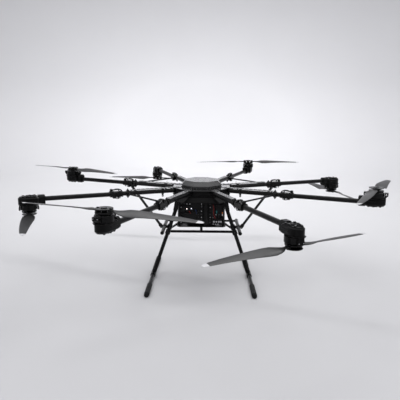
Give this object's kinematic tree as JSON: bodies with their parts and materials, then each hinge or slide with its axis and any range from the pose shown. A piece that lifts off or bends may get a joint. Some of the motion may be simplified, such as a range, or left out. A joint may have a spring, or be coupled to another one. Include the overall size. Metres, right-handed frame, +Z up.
{
  "type": "folding octocopter drone",
  "caption": "Heavy-lift folding octocopter: octagonal hub, braced folding carbon arms, alternating upper and lower two-blade rotors, avionics box and T-type landing gear.",
  "frame": {"origin": "centre of the payload bolt pattern on the underside of the payload tray, on the hub axis", "axes": "+Z up along the hub axis, +X to the right, -Y to the front"},
  "size_m": [2.0848, 1.833, 0.5643],
  "materials": {
    "carbon_tube": "satin woven carbon tube",
    "carbon_plate": "glossy woven carbon plate",
    "cover": "semi-gloss painted moulded cover",
    "black_alloy": "black anodised",
    "pod": "fine-grained black moulding",
    "motor": "black anodised machined",
    "blade": "satin carbon-nylon blade, white painted tip",
    "rubber": "matte foam rubber",
    "steel": "zinc plated",
    "electronics": "boards and moulded modules",
    "battery": "black shrink-wrapped pack",
    "button": "red moulded"
  },
  "bodies": {
    "root": {"dome_cover": "cover", "top_plate": "carbon_plate", "frame_plates": "carbon_plate", "skirt": "cover", "arm_sockets": "black_alloy", "inner_arms": "carbon_tube", "ladder_strips": "carbon_plate", "fold_sockets": "black_alloy", "hinge_pins": "steel", "arm_clamps": "black_alloy", "brace_rods": "carbon_tube", "box_frame": "carbon_plate", "electronics": "electronics", "payload_tray": "carbon_plate", "landing_legs": "carbon_tube", "skid_bars": "carbon_tube", "skid_sleeves": "rubber", "gear_tubes": "carbon_tube"},
    "battery": {"battery": "battery"},
    "power_button": {"power_button": "button"},
    "arm_1": {"outer_arm_1": "carbon_tube", "motor_pod_1": "pod"},
    "rotor_1": {"rotor_1": "motor"},
    "blade_1_a": {"blade_1_a": "blade"},
    "blade_1_b": {"blade_1_b": "blade"},
    "arm_2": {"outer_arm_2": "carbon_tube", "motor_pod_2": "pod"},
    "rotor_2": {"rotor_2": "motor"},
    "blade_2_a": {"blade_2_a": "blade"},
    "blade_2_b": {"blade_2_b": "blade"},
    "arm_3": {"outer_arm_3": "carbon_tube", "motor_pod_3": "pod"},
    "rotor_3": {"rotor_3": "motor"},
    "blade_3_a": {"blade_3_a": "blade"},
    "blade_3_b": {"blade_3_b": "blade"},
    "arm_4": {"outer_arm_4": "carbon_tube", "motor_pod_4": "pod"},
    "rotor_4": {"rotor_4": "motor"},
    "blade_4_a": {"blade_4_a": "blade"},
    "blade_4_b": {"blade_4_b": "blade"},
    "arm_5": {"outer_arm_5": "carbon_tube", "motor_pod_5": "pod"},
    "rotor_5": {"rotor_5": "motor"},
    "blade_5_a": {"blade_5_a": "blade"},
    "blade_5_b": {"blade_5_b": "blade"},
    "arm_6": {"outer_arm_6": "carbon_tube", "motor_pod_6": "pod"},
    "rotor_6": {"rotor_6": "motor"},
    "blade_6_a": {"blade_6_a": "blade"},
    "blade_6_b": {"blade_6_b": "blade"},
    "arm_7": {"outer_arm_7": "carbon_tube", "motor_pod_7": "pod"},
    "rotor_7": {"rotor_7": "motor"},
    "blade_7_a": {"blade_7_a": "blade"},
    "blade_7_b": {"blade_7_b": "blade"},
    "arm_8": {"outer_arm_8": "carbon_tube", "motor_pod_8": "pod"},
    "rotor_8": {"rotor_8": "motor"},
    "blade_8_a": {"blade_8_a": "blade"},
    "blade_8_b": {"blade_8_b": "blade"}
  },
  "joints": [
    {"name": "arm_1_fold", "type": "hinge", "parent": "root", "child": "arm_1", "pos_m": [-0.17297, -0.41759, 0.168], "axis": [0.9239, -0.3827, 0], "range_deg": [0, 90]},
    {"name": "rotor_1_spin", "type": "hinge", "parent": "arm_1", "child": "rotor_1", "pos_m": [-0.32528, -0.7853, 0.1835], "axis": [0, 0, 1], "continuous": true},
    {"name": "blade_1_a_fold", "type": "hinge", "parent": "rotor_1", "child": "blade_1_a", "pos_m": [-0.30109, -0.79483, 0.2445], "axis": [0, 0, 1], "range_deg": [-90, 90]},
    {"name": "blade_1_b_fold", "type": "hinge", "parent": "rotor_1", "child": "blade_1_b", "pos_m": [-0.34947, -0.77577, 0.2445], "axis": [0, 0, 1], "range_deg": [-90, 90]},
    {"name": "arm_2_fold", "type": "hinge", "parent": "root", "child": "arm_2", "pos_m": [-0.41759, -0.17297, 0.168], "axis": [0.3827, -0.9239, 0], "range_deg": [0, 90]},
    {"name": "rotor_2_spin", "type": "hinge", "parent": "arm_2", "child": "rotor_2", "pos_m": [-0.7853, -0.32528, 0.1835], "axis": [0, 0, 1], "continuous": true},
    {"name": "blade_2_a_fold", "type": "hinge", "parent": "rotor_2", "child": "blade_2_a", "pos_m": [-0.77705, -0.34994, 0.1225], "axis": [0, 0, 1], "range_deg": [-90, 90]},
    {"name": "blade_2_b_fold", "type": "hinge", "parent": "rotor_2", "child": "blade_2_b", "pos_m": [-0.79355, -0.30062, 0.1225], "axis": [0, 0, 1], "range_deg": [-90, 90]},
    {"name": "arm_3_fold", "type": "hinge", "parent": "root", "child": "arm_3", "pos_m": [-0.41759, 0.17297, 0.168], "axis": [-0.3827, -0.9239, 0], "range_deg": [0, 90]},
    {"name": "rotor_3_spin", "type": "hinge", "parent": "arm_3", "child": "rotor_3", "pos_m": [-0.7853, 0.32528, 0.1835], "axis": [0, 0, 1], "continuous": true},
    {"name": "blade_3_a_fold", "type": "hinge", "parent": "rotor_3", "child": "blade_3_a", "pos_m": [-0.76313, 0.3117, 0.2445], "axis": [0, 0, 1], "range_deg": [-90, 90]},
    {"name": "blade_3_b_fold", "type": "hinge", "parent": "rotor_3", "child": "blade_3_b", "pos_m": [-0.80747, 0.33887, 0.2445], "axis": [0, 0, 1], "range_deg": [-90, 90]},
    {"name": "arm_4_fold", "type": "hinge", "parent": "root", "child": "arm_4", "pos_m": [-0.17297, 0.41759, 0.168], "axis": [-0.9239, -0.3827, 0], "range_deg": [0, 90]},
    {"name": "rotor_4_spin", "type": "hinge", "parent": "arm_4", "child": "rotor_4", "pos_m": [-0.32528, 0.7853, 0.1835], "axis": [0, 0, 1], "continuous": true},
    {"name": "blade_4_a_fold", "type": "hinge", "parent": "rotor_4", "child": "blade_4_a", "pos_m": [-0.35089, 0.78981, 0.1225], "axis": [0, 0, 1], "range_deg": [-90, 90]},
    {"name": "blade_4_b_fold", "type": "hinge", "parent": "rotor_4", "child": "blade_4_b", "pos_m": [-0.29968, 0.78078, 0.1225], "axis": [0, 0, 1], "range_deg": [-90, 90]},
    {"name": "arm_5_fold", "type": "hinge", "parent": "root", "child": "arm_5", "pos_m": [0.17297, 0.41759, 0.168], "axis": [-0.9239, 0.3827, 0], "range_deg": [0, 90]},
    {"name": "rotor_5_spin", "type": "hinge", "parent": "arm_5", "child": "rotor_5", "pos_m": [0.32528, 0.7853, 0.1835], "axis": [0, 0, 1], "continuous": true},
    {"name": "blade_5_a_fold", "type": "hinge", "parent": "rotor_5", "child": "blade_5_a", "pos_m": [0.35124, 0.78679, 0.2445], "axis": [0, 0, 1], "range_deg": [-90, 90]},
    {"name": "blade_5_b_fold", "type": "hinge", "parent": "rotor_5", "child": "blade_5_b", "pos_m": [0.29932, 0.7838, 0.2445], "axis": [0, 0, 1], "range_deg": [-90, 90]},
    {"name": "arm_6_fold", "type": "hinge", "parent": "root", "child": "arm_6", "pos_m": [0.41759, 0.17297, 0.168], "axis": [-0.3827, 0.9239, 0], "range_deg": [0, 90]},
    {"name": "rotor_6_spin", "type": "hinge", "parent": "arm_6", "child": "rotor_6", "pos_m": [0.7853, 0.32528, 0.1835], "axis": [0, 0, 1], "continuous": true},
    {"name": "blade_6_a_fold", "type": "hinge", "parent": "rotor_6", "child": "blade_6_a", "pos_m": [0.78034, 0.3508, 0.1225], "axis": [0, 0, 1], "range_deg": [-90, 90]},
    {"name": "blade_6_b_fold", "type": "hinge", "parent": "rotor_6", "child": "blade_6_b", "pos_m": [0.79026, 0.29976, 0.1225], "axis": [0, 0, 1], "range_deg": [-90, 90]},
    {"name": "arm_7_fold", "type": "hinge", "parent": "root", "child": "arm_7", "pos_m": [0.41759, -0.17297, 0.168], "axis": [0.3827, 0.9239, 0], "range_deg": [0, 90]},
    {"name": "rotor_7_spin", "type": "hinge", "parent": "arm_7", "child": "rotor_7", "pos_m": [0.7853, -0.32528, 0.1835], "axis": [0, 0, 1], "continuous": true},
    {"name": "blade_7_a_fold", "type": "hinge", "parent": "rotor_7", "child": "blade_7_a", "pos_m": [0.79888, -0.30311, 0.2445], "axis": [0, 0, 1], "range_deg": [-90, 90]},
    {"name": "blade_7_b_fold", "type": "hinge", "parent": "rotor_7", "child": "blade_7_b", "pos_m": [0.77171, -0.34745, 0.2445], "axis": [0, 0, 1], "range_deg": [-90, 90]},
    {"name": "arm_8_fold", "type": "hinge", "parent": "root", "child": "arm_8", "pos_m": [0.17297, -0.41759, 0.168], "axis": [0.9239, 0.3827, 0], "range_deg": [0, 90]},
    {"name": "rotor_8_spin", "type": "hinge", "parent": "arm_8", "child": "rotor_8", "pos_m": [0.32528, -0.7853, 0.1835], "axis": [0, 0, 1], "continuous": true},
    {"name": "blade_8_a_fold", "type": "hinge", "parent": "rotor_8", "child": "blade_8_a", "pos_m": [0.34773, -0.77218, 0.1225], "axis": [0, 0, 1], "range_deg": [-90, 90]},
    {"name": "blade_8_b_fold", "type": "hinge", "parent": "rotor_8", "child": "blade_8_b", "pos_m": [0.30283, -0.79841, 0.1225], "axis": [0, 0, 1], "range_deg": [-90, 90]},
    {"name": "battery_slide", "type": "slide", "parent": "root", "child": "battery", "axis": [0, 1, 0], "range_m": [0, 0.15]},
    {"name": "power_button_press", "type": "slide", "parent": "root", "child": "power_button", "axis": [1, 0, 0], "range_m": [0, 0.0015], "stiffness_N_per_m": 600}
  ]
}
